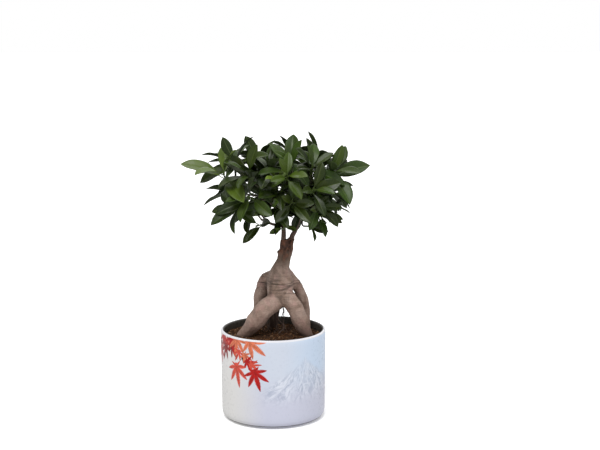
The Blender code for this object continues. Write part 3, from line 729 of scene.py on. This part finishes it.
def make_rootstock(material):
    """The swollen trunk: fine skin with flutes, waist creases, knots, pits and a scarred graft."""
    mesh = resurfaced(welded("rootstock"), 0.75 * MM, 4)
    places = coordinates(mesh)
    normals = coordinates(mesh, "normal")
    painted_shades, graft, neck, soil_stain_and_shade = np.zeros((4, len(places)))
    moved = places.copy()
    height = ROOT_HIGH.z - SOIL_HIGH.z
    for index, (place, normal) in enumerate(zip(places, normals)):
        spot = Vector(place)
        share = (spot.z - SOIL_HIGH.z) / height
        flutes = noise.noise(Vector((spot.x * 120, spot.y * 120, spot.z * 30))) * 1.0 * MM
        lumps = noise.noise(spot * 60 + Vector((3, 1, 7))) * 1.3 * MM
        waist = math.exp(-((share - WAIST) / WAIST_SPREAD) ** 2)
        lines = wrinkle(spot, 15, 300, 0.16) * (0.05 + 0.95 * waist)
        lines = max(lines, 0.18 * wrinkle(spot + Vector((0.3, 0.1, 0.2)), 80, 560, 0.15))
        pits = noise.noise(spot * 480) * 0.1 * MM
        scar = clamped((share - SCAR + 0.16 * noise.noise(spot * 110)) / SCAR_SPREAD)
        rough = scar * (noise.noise(Vector((spot.x * 330, spot.y * 330, spot.z * 120))) * 0.9 * MM)
        knots = 0.0
        for knot, size, rise in KNOTS:
            knots += rise * math.exp(-((spot - box_place(knot)).length / size) ** 2)
        knots -= cleft_depth(spot)
        moved[index] = place + normal * (flutes + lumps - lines * 0.65 * MM + pits + rough + knots)
        # Painted shade in the waist wrinkles and in the cleft.
        painted_shades[index] = max(lines * 0.9, min(1.0, -knots / (1.5 * MM)))
        graft[index] = scar
        neck[index] = clamped((share - NECK) / NECK_SPREAD)
        splash = 2.5 * MM + 2 * MM * noise.noise(spot * 130)
        stain = math.exp(-max(0.0, spot.z - SOIL_HIGH.z + 2 * MM) / splash)
        # Painted shade: the back roots under the arch are darkened, together with the real soil stain near
        # the ground.
        behind = clamped(spot.y / (12 * MM)) * clamped((0.42 - share) / 0.12)
        behind *= clamped((18 * MM - abs(spot.x)) / (5 * MM))
        soil_stain_and_shade[index] = max(0.75 * stain, 0.85 * behind)
    move_vertices(mesh, moved)
    deep = hollows(mesh)
    moved -= coordinates(mesh, "normal") * (deep * graft * 1.6 * MM)[:, None]
    move_vertices(mesh, moved)
    # Painted shade in the hollows of the skin.
    painted_shades = np.maximum(painted_shades, deep)
    painted_shades = np.maximum(painted_shades, 0.85 * hollows(mesh, 50, 0.8 * MM))
    finish_piece("trunk_and_roots", mesh, material, ("rootstock",),
                 {"painted_shade": painted_shades, "graft": graft * 0.9, "neck": neck, "soil_stain_and_shade": soil_stain_and_shade})


def make_fine_roots(material):
    """Thin roots that hang under the arch of the trunk and go into the soil."""
    dice = random.Random(5)
    vertices = []
    faces = []
    middle = (ROOT_LOW + ROOT_HIGH) / 2
    for root in range(FINE_ROOTS):
        x = middle.x + dice.uniform(-17, 13) * MM
        y = middle.y + dice.uniform(-14, 8) * MM
        top = SOIL_HIGH.z + (34 - 0.9 * abs(x - middle.x - 8 * MM) / MM) * MM
        path = []
        for step in range(ROOT_STEPS + 1):
            share = step / ROOT_STEPS
            bend = Vector((root + 0.37, share * 3.1, 0.5))
            sway = Vector((noise.noise(bend), noise.noise(bend + Vector((0, 0, 7))), 0)) * 13 * MM * share
            path.append(Vector((x, y, top + (SOIL_HIGH.z - 6 * MM - top) * share)) + sway)
        girth = dice.choice((0.18, 0.25, 0.3, 0.55, 0.8)) * MM
        radii = [girth * (1 + 0.35 * noise.noise(Vector((root, 0, step)))) for step in range(len(path))]
        add_tube(vertices, faces, path, radii, 7)
    # The roots darkened all over: painted shade under the arch.
    painted_shades = np.full(len(vertices), 0.7)
    make_piece("fine_roots", vertices, faces, material, (), {"painted_shade": painted_shades})


def make_scion(name, material):
    """A grafted limb with its branches: a smooth skin that is green towards the shoots."""
    shape = welded(name)
    low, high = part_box(name)
    for corner in shape.verts:
        corner.normal_update()
    for corner in shape.verts:
        corner.co += corner.normal * 0.2 * MM
        if corner.co.z < low.z + 1.0 * MM:
            corner.co.z -= GRAFT_DEPTH
    mesh = resurfaced(shape, 0.5 * MM, 3)
    places = coordinates(mesh)
    foot = np.array([(low.x + high.x) / 2, 0, low.z])
    green = np.clip((np.linalg.norm(places - foot, axis=1) - 45 * MM) / (35 * MM), 0, 0.8)
    return finish_piece(name.replace("scion", "branches"), mesh, material, (name,),
                        {"green": green})


def sprout_leaf(root, heading, upper, length):
    """The sections of a small leaf that grows from root, in the form that read_leaf gives."""
    side = heading.cross(upper).normalized()
    upper = side.cross(heading).normalized()
    half = length * 0.21
    base = root + heading * length * 0.12
    sections = []
    for where in STATIONS[:3]:
        droop = upper * length * 0.16 * where * where
        width = side * half * outline(where)
        sections.append((base + heading * length * where - droop, width, upper * width.length * 0.45))
    tip = base + heading * length - upper * length * 0.16
    return {"tip": tip, "sections": sections, "root": root}


def make_inner_leaves(skins, material):
    """Small leaves on the old wood inside the crown, which the outer shoots shade; their tone is kept dark
    as painted shade.
    """
    dice = random.Random(21)
    foliage = Foliage()
    places = [place for skin in skins for place in coordinates(skin.data)]
    low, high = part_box("scion_left")
    heart = Vector((low.x + high.x + 30 * MM, 0, low.z + high.z)) / 2
    grown = 0
    while grown < INNER_LEAVES:
        root = Vector(dice.choice(places))
        if root.z < low.z + OLD_WOOD:
            continue
        outward = (root - heart).normalized()
        heading = outward * 0.7 + Vector((dice.uniform(-1, 1), dice.uniform(-1, 1), dice.uniform(-0.6, 1)))
        heading.normalize()
        upper = Vector((dice.uniform(-0.5, 0.5), dice.uniform(-0.9, 0.1), 1.0))
        leaf = sprout_leaf(root, heading, upper, dice.uniform(16, 30) * MM)
        # Tone kept low: painted shade inside the crown.
        foliage.add_leaf(leaf, dice.uniform(0, 0.4), 0.0, dice)
        grown += 1
    make_piece("inner_leaves", foliage.vertices, foliage.faces, material, (), foliage.values)


# ---- soil

SOIL_RADIUS = SOIL_HIGH.x
SOIL_RISE = 3.5 * MM  # how much higher the bed is in its middle
SOIL_SINK = 0.8 * MM  # how far its looks lie under the CAD bed
BED_RINGS, BED_SPOKES = 70, 240
CHIPS, FIBRES, FIBRE_STEPS = 1900, 160, 6


def ground(x, y):
    """Height of the crumbly top of the soil."""
    share = min(1, math.hypot(x, y) / SOIL_RADIUS)
    rise = SOIL_RISE * math.cos(share * math.pi / 2)
    crumbs = noise.noise(Vector((x, y, 0)) * 260) * 1.3 * MM
    clumps = noise.noise(Vector((x, y, 5)) * 80) * 1.8 * MM
    return SOIL_HIGH.z - SOIL_RISE + rise + crumbs + clumps - SOIL_SINK


def scattered(dice, margin):
    """An even random place on the bed, the margin away from the pot."""
    return polar((SOIL_RADIUS - margin) * math.sqrt(dice.random()), dice.uniform(0, math.tau))


def make_soil_bed(material):
    """The bed itself, cut by the pot's inside."""
    vertices = [(0, 0, ground(0, 0))]
    faces = []
    for ring in range(1, BED_RINGS + 1):
        for spoke in range(BED_SPOKES):
            x, y = polar(SOIL_RADIUS * ring / BED_RINGS, math.tau * spoke / BED_SPOKES)
            vertices.append((x, y, ground(x, y)))
    depth = len(vertices)
    edge = depth - BED_SPOKES
    for x, y, _ in vertices[edge:]:
        vertices.append((x, y, SOIL_LOW.z + 8 * MM))
    for spoke in range(BED_SPOKES):
        faces.append((0, 1 + spoke, 1 + (spoke + 1) % BED_SPOKES))
    for start in range(1, depth, BED_SPOKES):
        for spoke in range(BED_SPOKES):
            near, following = start + spoke, start + (spoke + 1) % BED_SPOKES
            faces.append((near, near + BED_SPOKES, following + BED_SPOKES, following))
    faces.append(tuple(reversed(range(depth, depth + BED_SPOKES))))
    shades = np.zeros(len(vertices))
    make_piece("soil_bed", vertices, faces, material, ("soil",), {"shade": shades})


def make_soil_crumbs(material):
    """Bark chips, crumbs and fibres that lie on the bed."""
    dice = random.Random(77)
    vertices, faces, shades = [], [], []
    points, sides = chip_template()
    for chip in range(CHIPS):
        x, y = scattered(dice, 1.5 * MM)
        size = dice.choice((0.5, 0.7, 0.9, 1.2, 1.6)) * MM
        flat = dice.uniform(0.25, 0.7)
        long = dice.uniform(1.2, 4.2)
        turn = Euler((dice.uniform(-0.6, 0.6), dice.uniform(-0.6, 0.6), dice.uniform(0, math.tau)))
        centre = Vector((x, y, ground(x, y) + size * flat * 0.4))
        shade = dice.choice((0.12, 0.2, 0.3, 0.42, 0.5, 0.62, 0.75, 0.9)) + dice.uniform(0, 0.08)
        start = len(vertices)
        for corner in points:
            shaken = corner * dice.uniform(0.75, 1.2)
            local = Vector((shaken.x * size * long / 2, shaken.y * size / 2, shaken.z * size * flat / 2))
            local.rotate(turn)
            vertices.append(centre + local)
            shades.append(shade)
        faces.extend(tuple(start + corner for corner in side) for side in sides)
    for fibre in range(FIBRES):
        x, y = scattered(dice, 8 * MM)
        heading = dice.uniform(0, math.tau)
        bend = dice.uniform(-3, 3)
        length = dice.uniform(5, 15) * MM
        path = []
        for step in range(FIBRE_STEPS + 1):
            share = step / FIBRE_STEPS
            path.append(Vector((x, y, ground(x, y) + 0.5 * MM + 1.2 * MM * math.sin(math.pi * share))))
            x += math.cos(heading + bend * share) * length / FIBRE_STEPS
            y += math.sin(heading + bend * share) * length / FIBRE_STEPS
        if math.hypot(x, y) < SOIL_RADIUS - 2 * MM:
            add_tube(vertices, faces, path, [dice.uniform(0.14, 0.3) * MM] * len(path), 5)
            shades.extend([dice.uniform(0.35, 0.8)] * (len(vertices) - len(shades)))
    piece = make_piece("soil_crumbs", vertices, faces, material, (), {"shade": shades})
    piece.data.shade_flat()


def chip_template():
    """The points and faces of a ball of twenty faces, which every chip squashes its own way."""
    shape = bmesh.new()
    bmesh.ops.create_icosphere(shape, subdivisions=1, radius=1)
    points = [corner.co.copy() for corner in shape.verts]
    faces = [tuple(corner.index for corner in face.verts) for face in shape.faces]
    shape.free()
    return points, faces


# ---- pot

POT_SPOKES = 160
POT_TOLERANCE = 0.01 * MM  # a point closer than this to the axis is on it
RIM_BAND = (2.2, 1.6)  # mm under the top, between which the print gives way to glaze
POT_LIP = 2.7 * MM  # from the pot's widest to where the inside's dark grey, painted shade and reflection, begins


def pot_profile():
    """The CAD pot's section, as (radius, height) points from the underside round to the floor."""
    shape = welded("pot")
    section = []
    for corner in shape.verts:
        if abs(corner.co.y) < POT_TOLERANCE and corner.co.x > -POT_TOLERANCE:
            section.append(corner)
    path = [min(section, key=lambda corner: (round(corner.co.z, 5), corner.co.x))]
    ahead = path
    while ahead:
        here = path[-1]
        near = [edge.other_vert(here) for edge in here.link_edges]
        ahead = [corner for corner in near if corner in section and corner not in path]
        path.extend(sorted(ahead, key=lambda corner: (corner.co - here.co).length)[:1])
    points = [(corner.co.x, corner.co.z) for corner in path]
    shape.free()
    return [(0.0, points[0][1]), *points, (0.0, points[-1][1])]


def finer(points, longest):
    """The same outline with its long straight runs divided."""
    result = [points[0]]
    for (r0, z0), (r1, z1) in zip(points, points[1:]):
        steps = max(1, math.ceil(math.hypot(r1 - r0, z1 - z0) / longest))
        for step in range(1, steps + 1):
            result.append((r0 + (r1 - r0) * step / steps, z0 + (z1 - z0) * step / steps))
    return result


def make_pot(material):
    """The CAD pot's section turned about its axis in finer steps."""
    vertices = []
    faces = []
    rings = []
    for radius, height in finer(pot_profile(), 6 * MM):
        if radius < POT_TOLERANCE:
            rings.append([len(vertices)] * POT_SPOKES)
            vertices.append((0, 0, height))
            continue
        rings.append(list(range(len(vertices), len(vertices) + POT_SPOKES)))
        for spoke in range(POT_SPOKES):
            vertices.append((*polar(radius, math.tau * spoke / POT_SPOKES), height))
    for near, far in zip(rings, rings[1:]):
        bridge(faces, near, far)
    make_piece("glazed_pot", vertices, faces, material, ("pot",))


CRIMSON = srgb(140, 20, 22)
SCARLET = srgb(186, 22, 18)
CORAL = srgb(220, 84, 66)
SALMON = srgb(222, 120, 86)
# Maple leaves of the print: arc from the front centre and height (mm), length, turn from
# upright (degrees), width share, colour.
MAPLE_LEAVES = (
    (-92, 99, 24, 168, 0.9, CRIMSON),
    (-86, 90, 19, 188, 0.8, SCARLET),
    (-66, 103, 17, 140, 0.8, CORAL),
    (-57, 97, 17, 214, 0.8, CRIMSON),
    (-78, 107, 23, 205, 0.8, SCARLET),
    (-70, 96, 21, 158, 0.8, CRIMSON),
    (-58, 108, 22, 196, 0.8, SCARLET),
    (-47, 109, 24, 170, 0.9, SALMON),
    (-30, 108, 27, 232, 0.9, SALMON),
    (-44, 94, 15, 150, 0.8, CORAL),
    (-36, 91, 15, 205, 0.8, SALMON),
    (-33, 83, 19, 238, 0.75, SCARLET),
    (-28, 79, 15, 276, 0.7, CORAL),
    (-49, 75, 27, 190, 0.85, CORAL),
    (-23, 71, 25, 197, 0.95, SCARLET),
)
# Twigs of the print: both ends (mm) and half width.
TWIGS = (
    (-74, 113, -50, 97, 0.6),
    (-50, 97, -38, 84, 0.5),
    (-38, 84, -24, 72, 0.25),
    (-40, 86, -49, 76, 0.25),
    (-40, 88, -37, 82, 1.5),
    (-46, 93, -43, 89, 1.2),
)
LOBES = math.radians(42)  # between neighbouring lobes of a maple leaf
PEAK = (41.0, 87.0)  # the mountain's top: arc and height (mm)


def maple_group():
    """Mask and vein tone of a seven-lobed leaf, its middle lobe pointing up when its turn is 0."""
    g = Group("maple_leaf", ("Arc", "Height", "Across", "Up", "Length", "Turn", "Width"), ("Mask", "Tone"))
    arc, height, across, up, size, turn, width = g.given
    cosine = g.math("COSINE", turn)
    sine = g.math("SINE", turn)
    du = g.minus(arc, across)
    dz = g.minus(height, up)
    x = g.plus(g.times(du, cosine), g.times(dz, sine))
    y = g.minus(g.times(dz, cosine), g.times(du, sine))
    x = g.over(g.over(x, size), width)
    y = g.over(y, size)
    angle = g.absolute(g.math("ARCTAN2", x, y))
    reach = g.hypot(x, y)
    lobe = g.math("MINIMUM", g.math("ROUND", g.over(angle, LOBES)), 3.0)
    local = g.minus(angle, g.times(lobe, LOBES))
    shorter = g.times(g.math("MULTIPLY_ADD", lobe, 0.04, 0.085), lobe)
    length = g.minus(1.0, shorter)
    share = g.over(g.times(reach, g.math("COSINE", local)), length)
    aside = g.over(g.times(reach, g.absolute(g.math("SINE", local))), length)
    rise = g.math("POWER", g.math("MAXIMUM", share, 0.0001), 0.7)
    fall = g.math("POWER", g.math("MAXIMUM", g.minus(1.0, share), 0.0001), 0.9)
    teeth = g.math("MULTIPLY_ADD", g.math("SINE", g.times(share, 88.0)), 0.07, 0.4)
    half = g.times(g.times(rise, fall), teeth)
    blade = g.between(g.minus(half, aside), -0.006, 0.01)
    blade = g.times(blade, g.math("LESS_THAN", share, 1.0))
    g.put(g.result["Mask"], g.math("MAXIMUM", blade, g.between(reach, 0.15, 0.18, 1, 0)))
    g.put(g.result["Tone"], g.between(aside, 0.004, 0.02, 1, 0))
    return g


def twig_group():
    """Mask of a straight twig with rounded ends."""
    g = Group("twig", ("Arc", "Height", "From Arc", "From Height", "Run", "Rise", "Half"), ("Mask",))
    arc, height, from_arc, from_height, run, rise, half = g.given
    du = g.minus(arc, from_arc)
    dz = g.minus(height, from_height)
    along = g.plus(g.times(du, run), g.times(dz, rise))
    squared = g.plus(g.times(run, run), g.times(rise, rise))
    share = g.math("MINIMUM", g.math("MAXIMUM", g.over(along, squared), 0.0), 1.0)
    off_u = g.minus(du, g.times(share, run))
    off_z = g.minus(dz, g.times(share, rise))
    off = g.hypot(off_u, off_z)
    g.put(g.result["Mask"], g.between(g.minus(off, half), -0.1, 0.25, 1, 0))
    return g


def print_background(s, place, angle, arc, height):
    """Sky that turns from warm white on the left to pale blue on the right, over lavender mist."""
    east = s.math("SINE", angle)
    cloud = s.noise(place, 17, 4, 0.55)
    sky = s.mix(s.between(east, -0.9, -0.15), srgb(222, 220, 218), srgb(199, 206, 219))
    sky = s.mix(s.between(east, 0.1, 0.85), sky, srgb(197, 213, 233))
    sky = s.mix(s.between(cloud, 0.48, 0.78, 0, 0.35), sky, srgb(211, 216, 226))
    mist = s.mix(s.between(east, -0.85, -0.05), srgb(218, 217, 215), srgb(196, 198, 214))
    colour = s.mix(s.between(height, 34, 72, 1, 0), sky, mist)
    du = s.minus(arc, PEAK[0])
    dz = s.minus(PEAK[1], height)
    ragged = s.noise(place, 75, 5, 0.7)
    slope = s.math("POWER", s.absolute(du), 0.82)
    edge = s.minus(dz, s.times(slope, 1.35))
    edge = s.plus(edge, s.times(s.minus(ragged, 0.5), 15.0))
    mountain = s.times(s.between(edge, -2.0, 6.0), s.between(height, 22, 50))
    mountain = s.times(mountain, s.between(s.absolute(du), 66, 40))
    gully = s.math("ARCTAN2", du, s.plus(dz, 9.0))
    streak_place = s.join(s.times(gully, 8.5), s.times(dz, 0.075), 0.0)
    streaks = s.noise(streak_place, 1, 5, 0.72, 1.2)
    rock = s.mix(s.between(streaks, 0.38, 0.66), srgb(219, 223, 233), srgb(148, 158, 180))
    drift = s.between(s.noise(place, 48, 4, 0.65), 0.35, 0.62, 0.4, 1.0)
    return s.mix(s.times(s.times(mountain, drift), 0.8), colour, rock)


def pot_material():
    """White glaze outside with a printed autumn scene; inside below the rim the glaze is painted dark grey
    for its shade and the soil's reflection.
    """
    s = Shading("glaze")
    place = s.position()
    x, y, z = s.split(place)
    angle = s.math("ARCTAN2", x, s.times(y, -1.0))
    arc = s.times(angle, POT_RADIUS / MM)
    height = s.over(z, MM)
    colour = print_background(s, place, angle, arc, height)
    mottle = s.noise(place, 260, 3, 0.6)
    twig = twig_group()
    for start_u, start_z, end_u, end_z, half in TWIGS:
        mask = twig.use(s, Arc=arc, Height=height, From_Arc=start_u, From_Height=start_z,
                        Run=end_u - start_u, Rise=end_z - start_z, Half=half)
        colour = s.mix(mask["Mask"], colour, srgb(70, 26, 20))
    maple = maple_group()
    for across, up, length, turn, width, tint in MAPLE_LEAVES:
        leaf = maple.use(s, Arc=arc, Height=height, Across=across, Up=up, Length=length,
                         Turn=math.radians(turn), Width=width)
        shaded = s.mix(s.between(mottle, 0.35, 0.7, 0, 0.6), tint, tuple(0.4 * part for part in tint))
        shaded = s.mix(s.times(leaf["Tone"], 0.5), shaded, tuple(0.3 * part for part in tint))
        colour = s.mix(leaf["Mask"], colour, shaded)
    rim = s.between(height, *(POT_HEIGHT / MM - under for under in RIM_BAND))
    colour = s.mix(rim, colour, srgb(214, 214, 219))
    outward = s.hypot(x, y)
    inside = s.math("LESS_THAN", outward, POT_RADIUS - POT_LIP)
    inside = s.times(inside, s.math("GREATER_THAN", height, 3.0))
    # Painted shade and reflection: the inner wall below the lip is coloured dark grey.
    colour = s.mix(inside, colour, s.mix(mottle, srgb(52, 50, 46), srgb(84, 80, 74)))
    s.set(Base_Color=colour, Roughness=s.between(mottle, 0.3, 0.7, 0.26, 0.34), Specular_IOR_Level=0.25)
    return s.material


# ---- stage

EYE = (0, -1.35, 0.449)  # the camera's place
LOOK_DOWN, LOOK_RIGHT = 8.85, 1.41  # degrees
LENS, SENSOR = 67.14, 36  # mm


def make_stage():
    """Pale floor, white surround, soft lights and the camera at the photograph's angle."""
    scene = bpy.context.scene
    scene.view_settings.view_transform = "Standard"
    world = bpy.data.worlds.new("surround")
    scene.world = world
    world.use_nodes = True
    nodes = Nodes(world.node_tree)
    strength = nodes.between(nodes.camera_ray(), 0, 1, 0.36, 1.0)
    nodes.feed(world.node_tree.nodes["Background"], Color=(1, 1, 1), Strength=strength)
    bpy.ops.mesh.primitive_plane_add(size=400)
    floor = bpy.context.object
    floor.name = "floor"
    s = Shading("pale_floor")
    grain = s.noise(s.position(), 3, 2, 0.5)
    pale = s.mix(grain, (0.93, 0.93, 0.93), (0.95, 0.95, 0.95))
    s.set(Base_Color=s.mix(s.camera_ray(), (0.46, 0.46, 0.46), pale), Roughness=0.9, Specular_IOR_Level=0.0)
    s.set(Emission_Color=(1, 1, 1), Emission_Strength=0.16)
    floor.data.materials.append(s.material)
    add_sun("key", (-0.35, -0.75, 1.3), 32, 2.5)
    add_sun("rear", (0.15, 0.7, 0.9), 60, 1.5)
    add_sun("fill", (1.0, -0.9, 0.6), 50, 0.8)
    camera = bpy.data.cameras.new("camera")
    eye = new_object("camera", camera)
    camera.sensor_width = SENSOR
    camera.lens = LENS
    eye.location = EYE
    eye.rotation_euler = Euler((math.radians(90 - LOOK_DOWN), 0, math.radians(-LOOK_RIGHT)))
    scene.camera = eye


def add_sun(name, source, softness, strength):
    """A soft light that comes from a direction; its softness is its apparent width in degrees."""
    lamp = bpy.data.lights.new(name, "SUN")
    lamp.angle = math.radians(softness)
    lamp.energy = strength
    thing = new_object(name, lamp)
    thing.rotation_euler = (-Vector(source)).to_track_quat("-Z", "Y").to_euler()


def main():
    make_stage()
    make_pot(pot_material())
    peat = soil_material()
    make_soil_bed(peat)
    make_soil_crumbs(peat)
    bark = bark_material()
    make_rootstock(bark)
    make_fine_roots(bark)
    wood = branch_material()
    skins = [make_scion(name, wood) for name in SCIONS]
    green = leaf_material()
    make_inner_leaves(skins, green)
    for index, name in enumerate(SHOOTS):
        make_shoot(name, green, index)


main()
